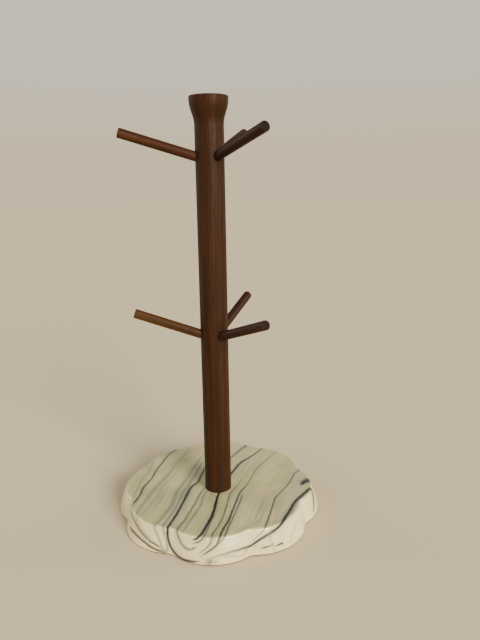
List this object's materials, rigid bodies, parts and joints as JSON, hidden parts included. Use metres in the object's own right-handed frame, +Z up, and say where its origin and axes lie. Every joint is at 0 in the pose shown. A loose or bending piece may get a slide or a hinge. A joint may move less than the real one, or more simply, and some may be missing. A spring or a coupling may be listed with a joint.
{
  "type": "mug tree",
  "caption": "Free-standing mug tree: wooden post with a flared head, slanting dowel pegs in rows for hanging mugs, on a scalloped marbled slab.",
  "frame": {"origin": "middle of the slab, on the surface that the felt pad rests on", "axes": "+Z up along the post, -Y to the front, and the left pegs point along -X"},
  "size_m": [0.1858, 0.1858, 0.365],
  "materials": {
    "marble": "gloss",
    "felt": "matte",
    "post_wood": "satin",
    "peg_wood": "satin",
    "screw_steel": "zinc plated"
  },
  "bodies": {
    "root": {"marbled_base": "marble", "base_pad": "felt", "post": "post_wood", "post_screw": "screw_steel", "screw_washer": "screw_steel", "upper_peg_left": "peg_wood", "upper_peg_front_right": "peg_wood", "upper_peg_back_right": "peg_wood", "lower_peg_left": "peg_wood", "lower_peg_front_right": "peg_wood", "lower_peg_back_right": "peg_wood"}
  },
  "joints": []
}
